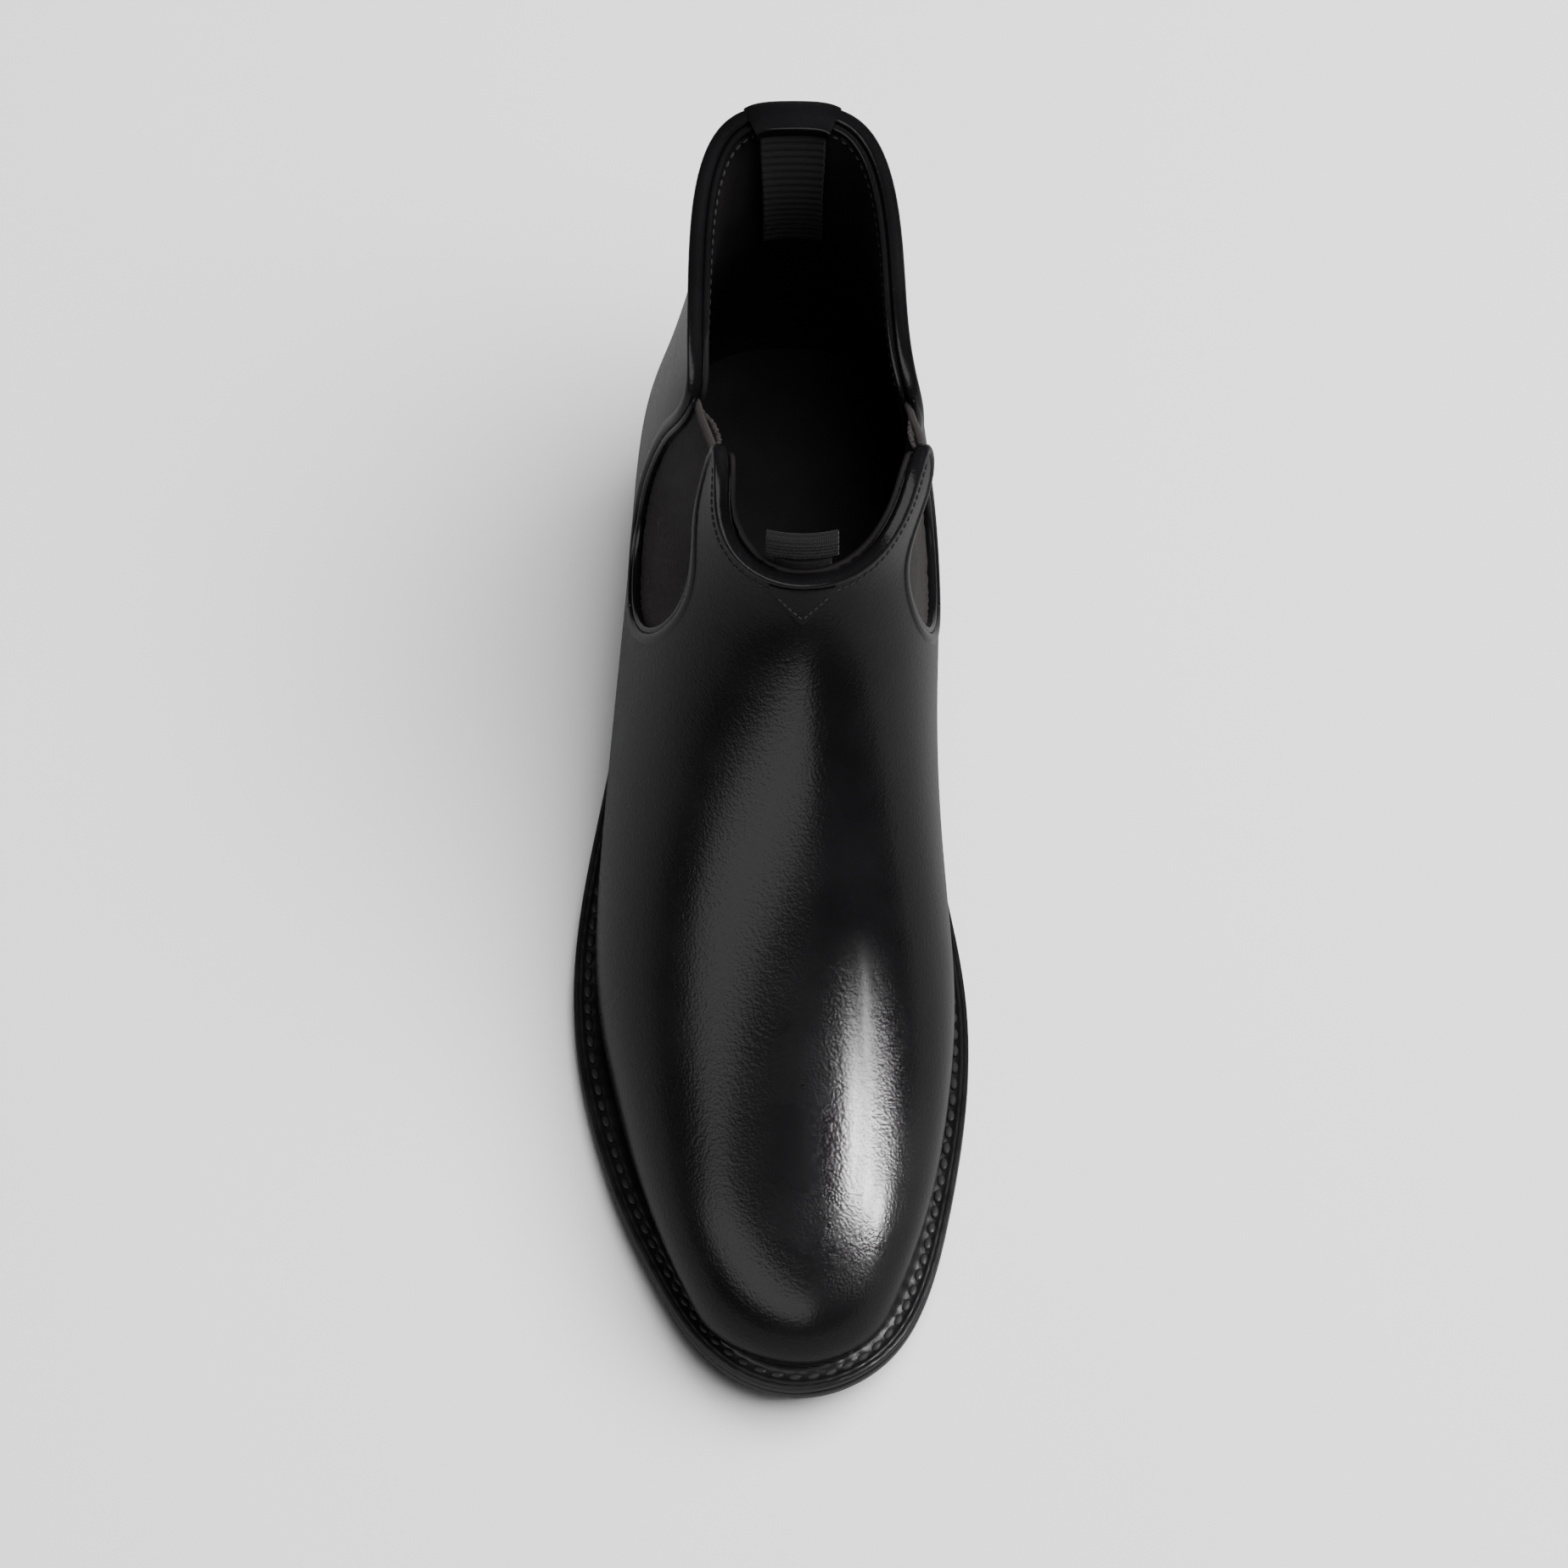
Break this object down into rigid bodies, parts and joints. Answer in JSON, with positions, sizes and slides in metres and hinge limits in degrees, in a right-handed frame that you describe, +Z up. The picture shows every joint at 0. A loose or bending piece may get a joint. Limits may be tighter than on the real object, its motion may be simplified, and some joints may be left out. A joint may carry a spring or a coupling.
{
  "type": "chelsea boot",
  "caption": "Ankle-high slip-on boot for the right foot: one-piece upper, elastic side gores, pull tabs, welted leather sole and stacked heel.",
  "frame": {"origin": "middle of the boot's underside, on the floor", "axes": "+Z up, -Y towards the toe, +X towards the inner side of the foot"},
  "size_m": [0.1046, 0.2992, 0.1677],
  "materials": {
    "calf_leather": "smooth black calf, semi-gloss, fine grain",
    "lining_leather": "black lining leather, matt to soft sheen",
    "elastic": "black ribbed elastic webbing, matt",
    "grosgrain": "black grosgrain ribbon, ribs across",
    "thread": "waxed black thread",
    "leatherboard": "tan fibre board, matt",
    "insole_leather": "natural leather, matt",
    "cork": "granulated cork paste",
    "sole_leather": "black edge dressing, polished",
    "heel_rubber": "black rubber, satin",
    "steel": "plain steel"
  },
  "bodies": {
    "root": {"upper": "calf_leather", "vamp_lining": "lining_leather", "quarter_lining": "lining_leather", "toe_puff": "leatherboard", "heel_counter": "leatherboard", "gore_elastic_outer": "elastic", "gore_elastic_inner": "elastic", "gore_binding_outer": "calf_leather", "gore_binding_inner": "calf_leather", "topline_binding_front": "calf_leather", "topline_binding_back": "calf_leather", "front_stay": "calf_leather", "front_tab_root": "grosgrain", "back_strap": "calf_leather", "sock_lining": "lining_leather", "insole": "insole_leather", "cork_filler": "cork", "shank": "steel", "welt": "sole_leather", "heel_rand": "sole_leather", "welt_stitching": "thread", "outsole": "sole_leather", "heel_base": "sole_leather", "heel_lift_upper": "sole_leather", "heel_lift_lower": "sole_leather", "heel_top_piece": "heel_rubber", "heel_nail_1": "steel", "heel_nail_2": "steel", "heel_nail_3": "steel", "heel_nail_4": "steel", "heel_nail_5": "steel"},
    "front_tab": {"front_pull_tab": "grosgrain"},
    "back_ribbon": {"back_pull_ribbon": "grosgrain"}
  },
  "joints": [
    {"name": "front_tab_fold", "type": "hinge", "parent": "root", "child": "front_tab", "pos_m": [0.00809, 0.02802, 0.14306], "axis": [1, 0, 0], "range_deg": [-50, 70]},
    {"name": "back_ribbon_swing", "type": "hinge", "parent": "root", "child": "back_ribbon", "pos_m": [0.0057, 0.1336, 0.1607], "axis": [-1, 0, 0], "range_deg": [0, 35]}
  ]
}
